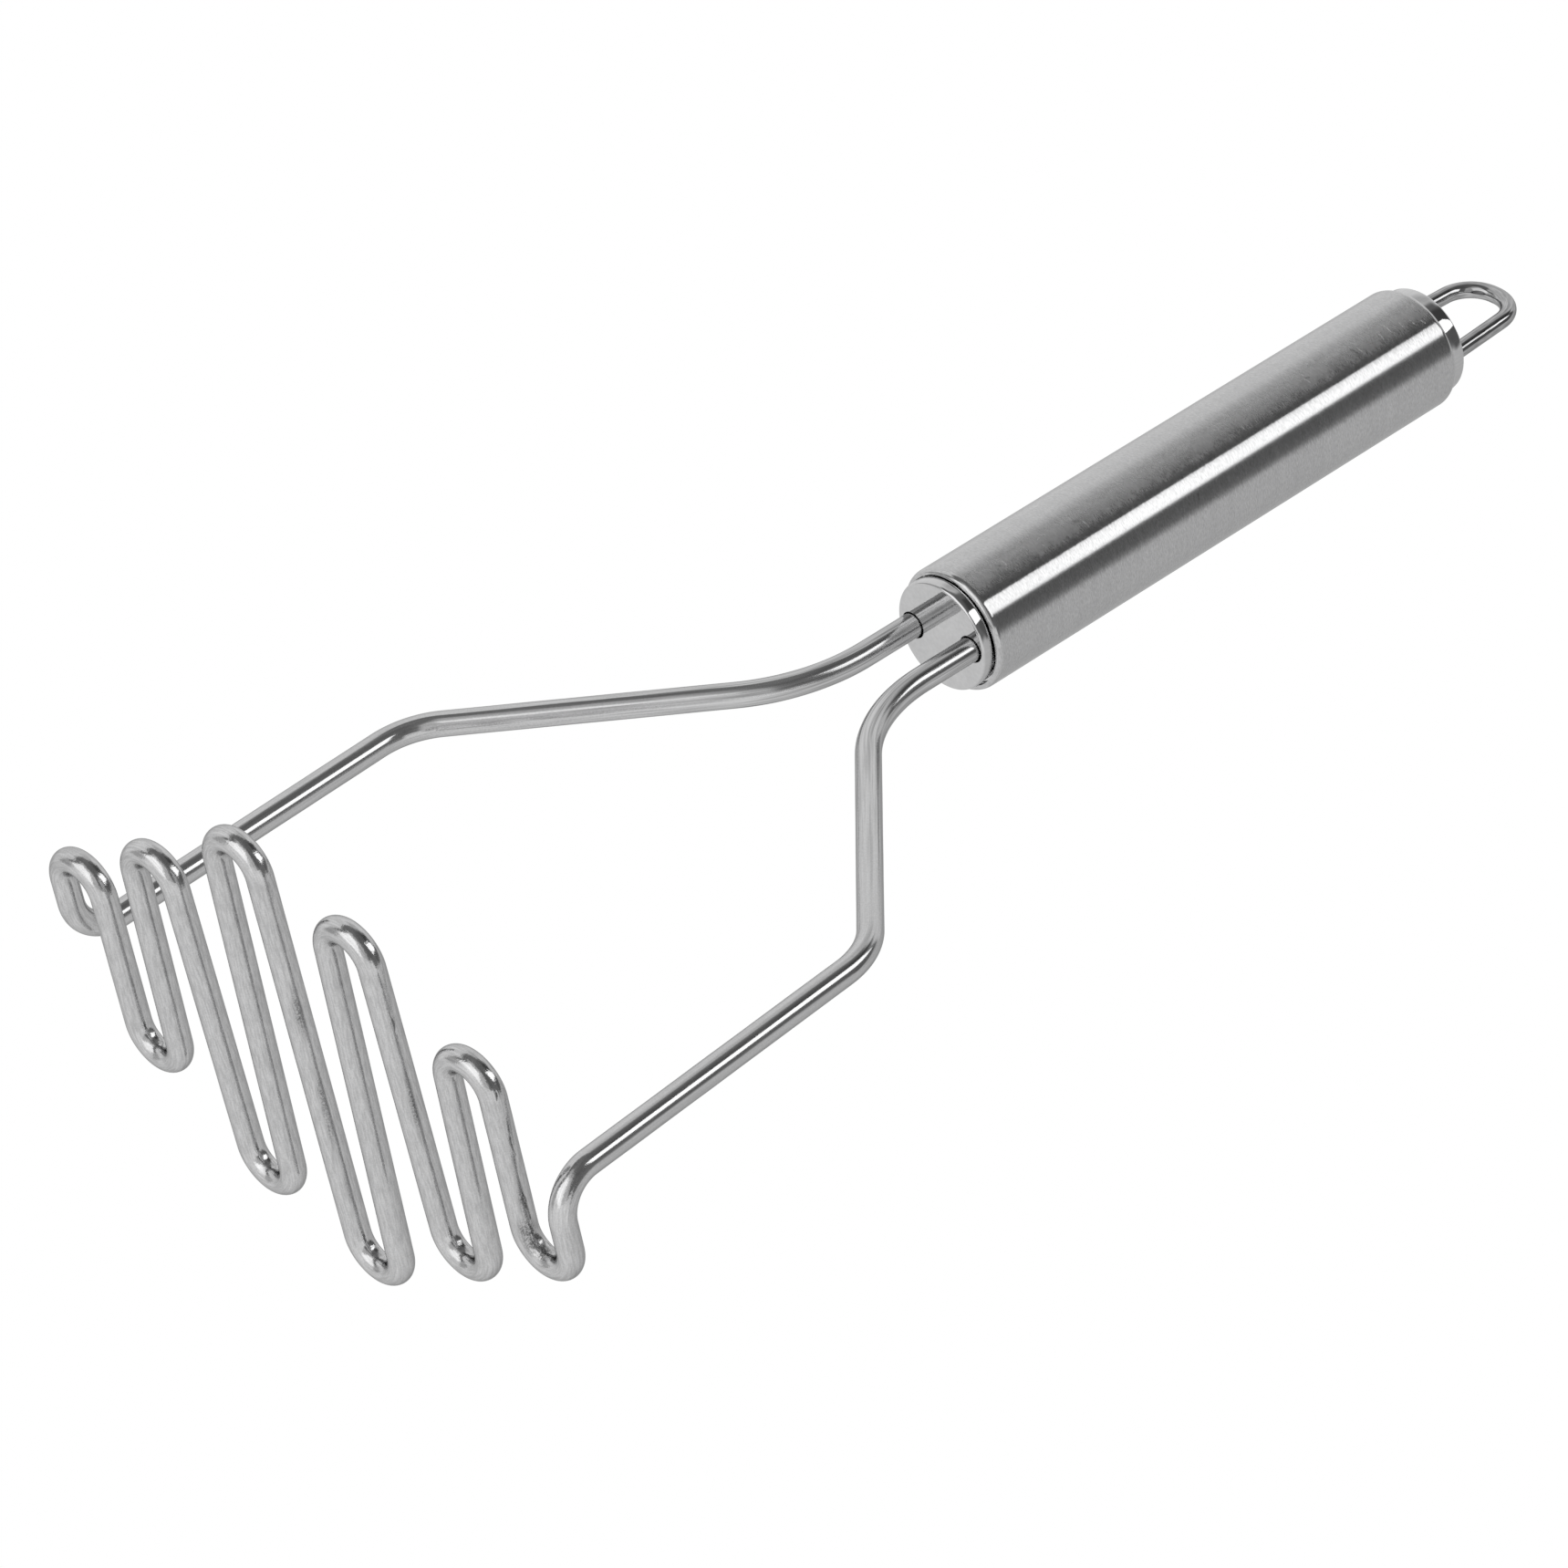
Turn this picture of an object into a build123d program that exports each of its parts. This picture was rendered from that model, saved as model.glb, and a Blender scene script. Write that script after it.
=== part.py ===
from build123d import *
import math
import os

# Potato masher in millimetres. It stands on its flat wire head, +Z runs up to the hanging loop,
# and the two arms lie to the -X and +X sides.

# Masher wire
wire_d = 5.0
bend_r = 5.85
bend_span_x = 117.4
bend_span_y = 77.4
foot_span = 129.0
foot_r = 8.0
elbow_span = 124.2
elbow_offset = 1.0
elbow_height = 78.0
elbow_r = 17.1
shoulder_height = 130.9
shoulder_r = 33.4
tang_span = 15.3

# Bend centres from the left end to the middle of the head, as shares of the two bend spans
bend_x_shares = (-0.5, -0.4, -0.291, -0.175, -0.056)
bend_y_shares = (-0.176, 0.177, -0.323, 0.39, -0.5)

# Handle, which leans a little towards +Y over the head
handle_lean = 3.2
handle_offset = 1.5
shoulder_to_cap = 26.7
tube_d = 25.4
tube_wall = 1.1
tube_length = 127.8
rim_round = 0.95

# Caps
front_nose = 2.7
rear_nose = 3.7
nose_gap = 0.25
nose_gap_depth = 1.2
nose_round = 0.5
cap_seat = 7.0

# Hanging loop
loop_wire_d = 3.4
loop_root_span = 16.2
loop_top_span = 13.9
loop_reach = 21.6
loop_root_rise = 1.2
loop_root_r = 14.0
loop_top_r = 6.9
loop_turn = 5.0

# Wire ends inside the handle and the weld beads round them
hole_clearance = 0.2
end_proud = 2.4
bead_leg = 1.1
bead_land = 0.35

# One overrun for every cut
overrun = 1.0

# Cylinders and cones are built upwards from their lower face
seat_align = (Align.CENTER, Align.CENTER, Align.MIN)

# Heights in the handle's own frame, counted from the shoulder corners
front_face = shoulder_to_cap
tube_start = front_face + front_nose
tube_end = tube_start + tube_length
rear_face = tube_end + rear_nose
front_back = tube_start + cap_seat
rear_back = tube_end - cap_seat
bore_r = tube_d / 2 - tube_wall
nose_r = bore_r - nose_gap

# The handle's frame in the part
head_height = wire_d / 2
handle_place = Location((0, handle_offset, head_height + shoulder_height), (-handle_lean, 0, 0))


def in_handle(x, y, height):
    """Point of the part that lies at x, y and height in the handle's frame."""
    return (handle_place * Location((x, y, height))).position


def rounded_corner(before, corner, after, radius):
    """Start, middle and end of the arc that rounds one corner of a wire."""
    back = (before - corner).normalized()
    ahead = (after - corner).normalized()
    half_angle = math.radians(back.get_angle(ahead)) / 2
    setback = radius / math.tan(half_angle)
    bisector = (back + ahead).normalized()
    middle = corner + bisector * (radius / math.sin(half_angle) - radius)
    return corner + back * setback, middle, corner + ahead * setback


def rounded_edges(points, radii):
    """Straight runs joined by tangent arcs, with one radius for each inner point."""
    edges = []
    run_start = points[0]
    for i, radius in enumerate(radii):
        start, middle, end = rounded_corner(points[i], points[i + 1], points[i + 2], radius)
        edges.append(Line(run_start, start))
        edges.append(ThreePointArc(start, middle, end))
        run_start = end
    edges.append(Line(run_start, points[-1]))
    return edges


def bend_centres():
    """Centres of the ten head bends, left to right, the same after half a turn about Z."""
    half = [Vector(x * bend_span_x, y * bend_span_y, head_height)
            for x, y in zip(bend_x_shares, bend_y_shares)]
    return half + [Vector(-c.X, -c.Y, c.Z) for c in reversed(half)]


def stroke(centre_a, offset_a, centre_b, offset_b):
    """Ends of the straight wire between two bends, each passed at its signed radius."""
    along = centre_b - centre_a
    share = (offset_a - offset_b) / along.length
    along = along.normalized()
    across = Vector(-along.Y, along.X, 0)
    normal = along * share + across * math.sqrt(1 - share * share)
    return centre_a + normal * offset_a, centre_b + normal * offset_b


def bend_arc(centre, offset, start, end):
    """Arc round the outside of one head bend, from the end of one stroke to the next."""
    chord = (end - start).normalized()
    outward = Vector(-chord.Y, chord.X, 0)
    return ThreePointArc(start, centre + outward * offset, end)


def head_bends():
    """Centre and signed radius of each head bend, left to right; the first bend lies at -Y."""
    return [(centre, bend_r * (-1) ** (i + 1)) for i, centre in enumerate(bend_centres())]


def head_strokes():
    """Half stroke, nine strokes and half stroke of the head, as pairs of points."""
    left_foot = (Vector(-foot_span / 2, 0, head_height), 0)
    right_foot = (Vector(foot_span / 2, 0, head_height), 0)
    stops = [left_foot] + head_bends() + [right_foot]
    return [stroke(*stops[i], *stops[i + 1]) for i in range(len(stops) - 1)]


def arm_points(side):
    """Tang end, shoulder, elbow and foot of the arm on one side, -1 or 1."""
    tang_end = in_handle(side * tang_span / 2, 0, front_back + end_proud)
    shoulder = in_handle(side * tang_span / 2, 0, 0)
    elbow = Vector(side * elbow_span / 2, side * elbow_offset, head_height + elbow_height)
    foot = Vector(side * foot_span / 2, 0, head_height)
    return [tang_end, shoulder, elbow, foot]


def swept_wire(edges, diameter):
    """Round wire along a chain of edges."""
    path = Wire(edges)
    start = Plane(origin=path @ 0, z_dir=path % 0)
    wire = sweep(start * Circle(diameter / 2), path=path)
    return wire, path.length


def make_masher_wire():
    """The unbroken wire from one tang down, through the head and up to the other tang."""
    strokes = head_strokes()
    radii = [shoulder_r, elbow_r, foot_r]
    edges = rounded_edges(arm_points(-1) + [strokes[0][1]], radii)
    for i, (centre, offset) in enumerate(head_bends()):
        edges.append(bend_arc(centre, offset, strokes[i][1], strokes[i + 1][0]))
        edges.append(Line(*strokes[i + 1]))
    edges.pop()
    right = [strokes[-1][0]] + list(reversed(arm_points(1)))
    edges += rounded_edges(right, list(reversed(radii)))
    return swept_wire(edges, wire_d)


def make_handle_tube():
    """Tube with both rims rounded in."""
    tube = Pos(0, 0, tube_start) * Cylinder(tube_d / 2, tube_length, align=seat_align)
    tube = fillet(tube.edges().filter_by(GeomType.CIRCLE), rim_round)
    bore_length = tube_length + 2 * overrun
    return tube - Pos(0, 0, tube_start - overrun) * Cylinder(bore_r, bore_length, align=seat_align)


def make_cap(face, rim, back, wire_span, wire_size, turn):
    """Plug with a slimmer polished nose and two holes for a wire, built upwards from its face."""
    nose_length = abs(rim - face) + nose_gap_depth
    seat_length = abs(back - rim) - nose_gap_depth
    nose = Cylinder(nose_r, nose_length, align=seat_align)
    nose = fillet(nose.edges().filter_by(GeomType.CIRCLE).sort_by(Axis.Z)[0], nose_round)
    cap = nose + Pos(0, 0, nose_length) * Cylinder(bore_r, seat_length, align=seat_align)
    hole_length = nose_length + seat_length + 2 * overrun
    hole_r = wire_size / 2 + hole_clearance
    for side in (-1, 1):
        place = Rot(0, 0, turn) * Pos(side * wire_span / 2, 0, -overrun)
        cap -= place * Cylinder(hole_r, hole_length, align=seat_align)
    return cap


def make_front_cap():
    """Front cap, face down."""
    cap = make_cap(front_face, tube_start, front_back, tang_span, wire_d, 0)
    return Pos(0, 0, front_face) * cap


def make_rear_cap():
    """Rear cap, face up; the flip over X needs the loop's turn the other way round."""
    cap = make_cap(rear_face, tube_end, rear_back, loop_root_span, loop_wire_d, -loop_turn)
    return Pos(0, 0, rear_face) * Rot(180, 0, 0) * cap


def make_hanging_loop():
    """Loop with legs that are parallel in the cap and drawn in above it."""
    half_spans = (loop_root_span / 2, loop_root_span / 2, loop_top_span / 2)
    heights = (rear_back - end_proud, rear_face + loop_root_rise, rear_face + loop_reach)
    left = [Vector(-x, 0, z) for x, z in zip(half_spans, heights)]
    right = [Vector(x, 0, z) for x, z in zip(half_spans, heights)]
    right.reverse()
    radii = [loop_root_r, loop_top_r, loop_top_r, loop_root_r]
    loop, length = swept_wire(rounded_edges(left + right, radii), loop_wire_d)
    return Rot(0, 0, loop_turn) * loop, length


def make_bead(wire_size):
    """Weld bead round a wire end, standing on a cap's inner face."""
    outer = wire_size / 2 + bead_leg
    crown = wire_size / 2 + bead_land
    bead = Cone(outer, crown, bead_leg, align=seat_align)
    return bead - Pos(0, 0, -overrun) * Cylinder(wire_size / 2, bead_leg + 2 * overrun, align=seat_align)


def make_beads(wire_size, span, turn, height, flip):
    """Two beads for the two ends of one wire."""
    bead = Rot(flip, 0, 0) * make_bead(wire_size)
    turned = Rot(0, 0, turn)
    return [turned * Pos(side * span / 2, 0, height) * bead for side in (-1, 1)]


def main():
    os.makedirs("parts", exist_ok=True)
    wire, wire_length = make_masher_wire()
    loop, loop_length = make_hanging_loop()
    export_step(wire, "parts/masher_wire.step")
    in_handle_frame = {
        "handle_tube": make_handle_tube(),
        "front_cap": make_front_cap(),
        "rear_cap": make_rear_cap(),
        "hanging_loop": loop,
        "tang_welds": Compound(children=make_beads(wire_d, tang_span, 0, front_back, 0)),
        "loop_welds": Compound(children=make_beads(loop_wire_d, loop_root_span, loop_turn, rear_back, 180)),
    }
    for name, shape in in_handle_frame.items():
        export_step(handle_place * shape, f"parts/{name}.step")
    for name, shape, length, size in (("masher_wire", wire, wire_length, wire_d),
                                      ("hanging_loop", loop, loop_length, loop_wire_d)):
        expected = length * math.pi * size * size / 4
        print(f"{name}: length {length:.2f}, volume {shape.volume:.1f}, expected {expected:.1f}")


main()
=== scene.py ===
import math

import bmesh
import bpy
from mathutils import Matrix, Vector


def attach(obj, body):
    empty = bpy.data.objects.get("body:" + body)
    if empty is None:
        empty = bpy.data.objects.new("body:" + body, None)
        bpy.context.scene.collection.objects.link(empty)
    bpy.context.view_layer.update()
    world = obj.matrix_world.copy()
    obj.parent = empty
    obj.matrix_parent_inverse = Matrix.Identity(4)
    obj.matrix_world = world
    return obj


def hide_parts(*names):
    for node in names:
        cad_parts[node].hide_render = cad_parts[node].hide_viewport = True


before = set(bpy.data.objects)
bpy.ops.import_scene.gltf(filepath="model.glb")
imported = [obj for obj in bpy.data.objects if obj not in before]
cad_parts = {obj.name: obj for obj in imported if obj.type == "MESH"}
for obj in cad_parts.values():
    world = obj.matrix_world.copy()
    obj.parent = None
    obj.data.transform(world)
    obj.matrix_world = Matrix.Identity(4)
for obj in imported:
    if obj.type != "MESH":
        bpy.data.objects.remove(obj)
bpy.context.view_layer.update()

# Sizes in millimetres and turns in degrees, the same as in the part's source
wire_d = 5.0
bend_r = 5.85
bend_span_x = 117.4
bend_span_y = 77.4
bend_x_shares = (-0.5, -0.4, -0.291, -0.175, -0.056)
bend_y_shares = (-0.176, 0.177, -0.323, 0.39, -0.5)
foot_span = 129.0
foot_r = 8.0
elbow_span = 124.2
elbow_offset = 1.0
elbow_height = 78.0
elbow_r = 17.1
shoulder_height = 130.9
shoulder_r = 33.4
tang_span = 15.3
handle_lean = 3.2
handle_offset = 1.5
shoulder_to_cap = 26.7
tube_d = 25.4
tube_wall = 1.1
tube_length = 127.8
rim_round = 0.95
front_nose = 2.7
rear_nose = 3.7
nose_gap = 0.25
nose_gap_depth = 1.2
nose_round = 0.5
cap_seat = 7.0
loop_wire_d = 3.4
loop_root_span = 16.2
loop_top_span = 13.9
loop_reach = 21.6
loop_root_rise = 1.2
loop_root_r = 14.0
loop_top_r = 6.9
loop_turn = 5.0
hole_clearance = 0.2
end_proud = 2.4

# Shapes that only show close up: the caps' noses are barrelled and sit a little off centre, their holes
# are worn wide on one side, and the tube's rims roll in over a longer way
nose_crown = 0.12
front_slip = 0.15
rear_slip = 0.06
nose_slip_turn = math.radians(-110)
hole_slip = 0.09
rim_roll = 1.3
rim_lip = 0.12
hole_lip = 0.22

# Waviness that bending leaves in the wires, the scale of its noise, and the share of it that goes inwards
wire_waviness = 0.06
loop_waviness = 0.04
wave_scale = 90.0
wave_inward = 0.8

# How finely the visible pieces are cut
arc_step = math.radians(2.5)
arc_least = 4
run_step = 4.0
wire_sides = 48
loop_sides = 40
lathe_sides = 160
hole_sides = 64
nose_steps = 14
nose_rows = 12
rim_steps = 16
rim_lip_steps = 4
bore_rows = 4
hole_lip_steps = 6

# Narrow land at the ends of an outline's long runs, and how many lands make a run long
edge_land = 0.05
long_run_lands = 6

# Points closer than this are one point, and edges that turn more than this are sharp
merge_gap = 1e-5
sharp_turn = math.radians(35)

# How much fine detail noise has
plain_detail = 1.0
soft_detail = 2.0
fine_detail = 3.0

# Length of tube that is one unit of its map
map_run = 100

# Millimetres in a metre
per_metre = 1000

front_face = shoulder_to_cap
tube_start = front_face + front_nose
tube_end = tube_start + tube_length
rear_face = tube_end + rear_nose
front_back = tube_start + cap_seat
rear_back = tube_end - cap_seat
bore_r = tube_d / 2 - tube_wall
nose_r = bore_r - nose_gap
head_height = wire_d / 2

to_metres = Matrix.Scale(1 / per_metre, 4)
handle_place = (Matrix.Translation((0, handle_offset, head_height + shoulder_height))
                @ Matrix.Rotation(math.radians(-handle_lean), 4, "X"))


# Centrelines

def rounded_corner(before, corner, after, radius):
    """Points of the arc that rounds one corner of a wire."""
    back = (before - corner).normalized()
    ahead = (after - corner).normalized()
    half = back.angle(ahead) / 2
    centre = corner + (back + ahead).normalized() * (radius / math.sin(half))
    start = corner + back * (radius / math.tan(half)) - centre
    end = corner + ahead * (radius / math.tan(half)) - centre
    turn = math.pi - 2 * half
    count = max(arc_least, math.ceil(turn / arc_step))
    axis = start.cross(end).normalized()
    return [centre + Matrix.Rotation(turn * i / count, 3, axis) @ start for i in range(count + 1)]


def rounded_run(points, radii):
    """Points of straight runs joined by rounded corners."""
    line = [points[0]]
    for i, radius in enumerate(radii):
        line += rounded_corner(points[i], points[i + 1], points[i + 2], radius)
    return line + [points[-1]]


def stepped(line):
    """The same line with its long straight runs divided."""
    out = [line[0]]
    for a, b in zip(line, line[1:]):
        count = max(1, round((b - a).length / run_step))
        out += [a.lerp(b, i / count) for i in range(1, count + 1)]
    return out


def head_bends():
    """Centre and signed radius of the ten head bends, left to right."""
    half = [Vector((x * bend_span_x, y * bend_span_y, head_height))
            for x, y in zip(bend_x_shares, bend_y_shares)]
    centres = half + [Vector((-c.x, -c.y, c.z)) for c in reversed(half)]
    return [(centre, bend_r * (-1) ** (i + 1)) for i, centre in enumerate(centres)]


def stroke(centre_a, offset_a, centre_b, offset_b):
    """Ends of the straight wire between two bends."""
    along = centre_b - centre_a
    share = (offset_a - offset_b) / along.length
    along.normalize()
    across = Vector((-along.y, along.x, 0))
    normal = along * share + across * math.sqrt(1 - share * share)
    return centre_a + normal * offset_a, centre_b + normal * offset_b


def bend_arc(centre, offset, start, end):
    """Points round the outside of one head bend."""
    first = math.atan2(start.y - centre.y, start.x - centre.x)
    last = math.atan2(end.y - centre.y, end.x - centre.x)
    way = -math.copysign(1, offset)
    turn = ((last - first) * way) % (2 * math.pi)
    count = math.ceil(turn / arc_step)
    angles = [first + way * turn * i / count for i in range(1, count)]
    radius = abs(offset)
    return [centre + Vector((math.cos(a), math.sin(a), 0)) * radius for a in angles]


def arm_points(side):
    """Tang end, shoulder, elbow and foot of one arm."""
    tang_end = handle_place @ Vector((side * tang_span / 2, 0, front_back + end_proud))
    shoulder = handle_place @ Vector((side * tang_span / 2, 0, 0))
    elbow = Vector((side * elbow_span / 2, side * elbow_offset, head_height + elbow_height))
    foot = Vector((side * foot_span / 2, 0, head_height))
    return [tang_end, shoulder, elbow, foot]


def masher_wire_line():
    """Centreline from the left tang, down the arm, through the head and up the right arm."""
    bends = head_bends()
    stops = ([(Vector((-foot_span / 2, 0, head_height)), 0)] + bends
             + [(Vector((foot_span / 2, 0, head_height)), 0)])
    strokes = [stroke(*stops[i], *stops[i + 1]) for i in range(len(stops) - 1)]
    radii = [shoulder_r, elbow_r, foot_r]
    line = rounded_run(arm_points(-1) + [strokes[0][1]], radii)
    for i, (centre, offset) in enumerate(bends):
        line += bend_arc(centre, offset, strokes[i][1], strokes[i + 1][0])
        line.append(strokes[i + 1][0])
        if i < len(bends) - 1:
            line.append(strokes[i + 1][1])
    right = [strokes[-1][0]] + list(reversed(arm_points(1)))
    line += rounded_run(right, radii[::-1])[1:]
    return stepped(line)


def hanging_loop_line():
    """Centreline of the loop, from one leg's end inside the rear cap to the other."""
    half_spans = (loop_root_span / 2, loop_root_span / 2, loop_top_span / 2)
    heights = (rear_back - end_proud, rear_face + loop_root_rise, rear_face + loop_reach)
    left = [Vector((-x, 0, z)) for x, z in zip(half_spans, heights)]
    right = [Vector((x, 0, z)) for x, z in zip(half_spans, heights)]
    line = rounded_run(left + right[::-1], [loop_root_r, loop_top_r, loop_top_r, loop_root_r])
    turned = handle_place @ Matrix.Rotation(math.radians(loop_turn), 4, "Z")
    return [turned @ p for p in stepped(line)]


# Sums in node trees

def fill(tree, socket, value):
    """Gives a socket its number or triple, or links another node's output to it."""
    if isinstance(value, (int, float, tuple)):
        socket.default_value = value
    else:
        tree.links.new(value, socket)


def math_node(tree, operation, *values):
    """One sum; a value is a number or another node's output."""
    node = tree.nodes.new("ShaderNodeMath")
    node.operation = operation
    for socket, value in zip(node.inputs, values):
        fill(tree, socket, value)
    return node.outputs[0]


def times(tree, value, share):
    """The value multiplied by a share."""
    return math_node(tree, "MULTIPLY", value, share)


def plus(tree, value, extra, weight):
    """The value with weight times extra added to it."""
    return math_node(tree, "MULTIPLY_ADD", extra, weight, value)


def vector_sum(tree, operation, *values):
    """One vector sum; a value is a number triple, a number for Scale or another node's output."""
    node = tree.nodes.new("ShaderNodeVectorMath")
    node.operation = operation
    sockets = [s for s in node.inputs if s.enabled]
    for socket, value in zip(sockets, values):
        fill(tree, socket, value)
    return node.outputs["Value" if operation == "LENGTH" else "Vector"]


def coordinate(tree, point, axis):
    """One coordinate of a point."""
    parts = tree.nodes.new("ShaderNodeSeparateXYZ")
    tree.links.new(point, parts.inputs[0])
    return parts.outputs[axis]


def spread(tree, value, start, end, low, high, way):
    """Takes a value between start and end to one between low and high."""
    node = tree.nodes.new("ShaderNodeMapRange")
    node.interpolation_type = way
    for name, number in (("From Min", start), ("From Max", end), ("To Min", low), ("To Max", high)):
        node.inputs[name].default_value = number
    tree.links.new(value, node.inputs["Value"])
    return node.outputs["Result"]


def smooth_step(tree, value, start, end, low=0.0, high=1.0):
    """Goes softly from low at start to high at end."""
    return spread(tree, value, start, end, low, high, "SMOOTHSTEP")


def blend_in(tree, under, over, share):
    """Covers one value with a share of another."""
    node = tree.nodes.new("ShaderNodeMix")
    node.data_type = "FLOAT"
    for name, value in (("Factor", share), ("A", under), ("B", over)):
        fill(tree, node.inputs[name], value)
    return node.outputs["Result"]


def metres(values):
    """Millimetres as metres, which shaders read."""
    return [value / per_metre for value in values]


# Objects and meshes

def in_scene(name, data):
    """A new object in the scene, at the origin."""
    thing = bpy.data.objects.new(name, data)
    bpy.context.scene.collection.objects.link(thing)
    return thing


def object_from(name, mesh, finish):
    """A piece with one finish."""
    piece = in_scene(name, mesh)
    mesh.materials.clear()
    mesh.materials.append(finish)
    return piece


def stored(tree, name, kind, geometry, value):
    """Keeps a value under a name at every point of a line or ring."""
    store = tree.nodes.new("GeometryNodeStoreNamedAttribute")
    store.data_type = kind
    store.domain = "POINT"
    store.inputs["Name"].default_value = name
    tree.links.new(geometry, store.inputs["Geometry"])
    tree.links.new(value, store.inputs["Value"])
    return store.outputs["Geometry"]


def wire_tree():
    """Geometry Nodes that draw round wire along a line, a little wavy from its bending."""
    tree = bpy.data.node_groups.new("drawn_wire", "GeometryNodeTree")
    tree.is_modifier = True
    tree.interface.new_socket(name="Geometry", in_out="OUTPUT", socket_type="NodeSocketGeometry")
    for name, kind in (("Line", "Geometry"), ("Wire diameter", "Float"), ("Sides", "Int"),
                       ("Waviness", "Float"), ("Finish", "Material")):
        tree.interface.new_socket(name=name, in_out="INPUT", socket_type="NodeSocket" + kind)
    given = tree.nodes.new("NodeGroupInput").outputs
    result = tree.nodes.new("NodeGroupOutput")

    line = tree.nodes.new("GeometryNodeMeshToCurve")
    tree.links.new(given["Line"], line.inputs["Mesh"])
    spot = tree.nodes.new("GeometryNodeSplineParameter")
    line = stored(tree, "run", "FLOAT", line.outputs["Curve"], spot.outputs["Length"])
    heading = tree.nodes.new("GeometryNodeInputTangent")
    line = stored(tree, "along", "FLOAT_VECTOR", line, heading.outputs["Tangent"])

    section = tree.nodes.new("GeometryNodeCurvePrimitiveCircle")
    tree.links.new(given["Sides"], section.inputs["Resolution"])
    tree.links.new(times(tree, given["Wire diameter"], 0.5), section.inputs["Radius"])
    place = tree.nodes.new("GeometryNodeInputPosition")
    side = vector_sum(tree, "NORMALIZE", place.outputs[0])
    section = stored(tree, "side", "FLOAT_VECTOR", section.outputs["Curve"], side)

    drawn = tree.nodes.new("GeometryNodeCurveToMesh")
    drawn.inputs["Fill Caps"].default_value = True
    tree.links.new(line, drawn.inputs["Curve"])
    tree.links.new(section, drawn.inputs["Profile Curve"])

    wave = tree.nodes.new("ShaderNodeTexNoise")
    wave.inputs["Scale"].default_value = wave_scale
    wave.inputs["Detail"].default_value = plain_detail
    height = times(tree, math_node(tree, "SUBTRACT", wave.outputs[0], wave_inward), given["Waviness"])
    outward = tree.nodes.new("GeometryNodeInputNormal")
    worked = tree.nodes.new("GeometryNodeSetPosition")
    tree.links.new(drawn.outputs["Mesh"], worked.inputs["Geometry"])
    tree.links.new(vector_sum(tree, "SCALE", outward.outputs[0], height), worked.inputs["Offset"])

    geometry = worked.outputs["Geometry"]
    for step in ("SetShadeSmooth", "RealizeInstances", "SetMaterial"):
        node = tree.nodes.new("GeometryNode" + step)
        tree.links.new(geometry, node.inputs["Geometry"])
        geometry = node.outputs["Geometry"]
    tree.links.new(given["Finish"], node.inputs["Material"])
    tree.links.new(geometry, result.inputs["Geometry"])
    return tree


def wire_piece(name, line, diameter, sides, waviness, finish, tree):
    """A bent wire as a plain mesh."""
    mesh = bpy.data.meshes.new(name + "_line")
    points = [to_metres @ p for p in line]
    mesh.from_pydata(points, [(i, i + 1) for i in range(len(points) - 1)], [])
    piece = in_scene(name, mesh)
    drawing = piece.modifiers.new("drawn_wire", "NODES")
    drawing.node_group = tree
    given = {"Wire diameter": diameter / per_metre, "Sides": sides,
             "Waviness": waviness / per_metre, "Finish": finish}
    for item in tree.interface.items_tree:
        if item.in_out == "INPUT" and item.name in given:
            drawing[item.identifier] = given[item.name]
    bpy.context.view_layer.update()
    depsgraph = bpy.context.evaluated_depsgraph_get()
    result = bpy.data.meshes.new_from_object(
        piece.evaluated_get(depsgraph), preserve_all_data_layers=True, depsgraph=depsgraph)
    piece.modifiers.remove(drawing)
    piece.data = result
    result.name = name
    bpy.data.meshes.remove(mesh)
    return piece


def ring(bm, radius, height, sides, centre=(0, 0)):
    """One ring of points about a line parallel to the handle."""
    return [bm.verts.new((centre[0] + radius * math.cos(2 * math.pi * i / sides),
                          centre[1] + radius * math.sin(2 * math.pi * i / sides), height))
            for i in range(sides)]


def join_rings(bm, lower, upper):
    """Quads between two rings."""
    count = len(lower)
    for i in range(count):
        j = (i + 1) % count
        bm.faces.new((lower[i], lower[j], upper[j], upper[i]))


def quarter(radius_from, height_from, radius_to, height_to, steps):
    """Points of a quarter round that leaves level and ends upright."""
    points = []
    for i in range(steps + 1):
        angle = math.pi / 2 * i / steps
        points.append((radius_from + (radius_to - radius_from) * math.sin(angle),
                       height_from + (height_to - height_from) * (1 - math.cos(angle))))
    return points


def landed(points):
    """The same outline with a short step at each end of every long run, to keep the shading true."""
    out = [points[0]]
    for a, b in zip(points, points[1:]):
        a, b = Vector(a), Vector(b)
        if (b - a).length > long_run_lands * edge_land:
            way = (b - a).normalized() * edge_land
            out += [tuple(a + way), tuple(b - way)]
        out.append(tuple(b))
    return out


def finish_mesh(bm, name, place):
    """The mesh in the part's frame with smooth faces and sharp corners."""
    bmesh.ops.remove_doubles(bm, verts=bm.verts, dist=merge_gap)
    bmesh.ops.recalc_face_normals(bm, faces=bm.faces)
    for face in bm.faces:
        face.smooth = True
    for edge in bm.edges:
        if len(edge.link_faces) == 2 and edge.calc_face_angle(0) > sharp_turn:
            edge.smooth = False
    bm.transform(to_metres @ place)
    mesh = bpy.data.meshes.new(name)
    bm.to_mesh(mesh)
    bm.free()
    return mesh


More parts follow.
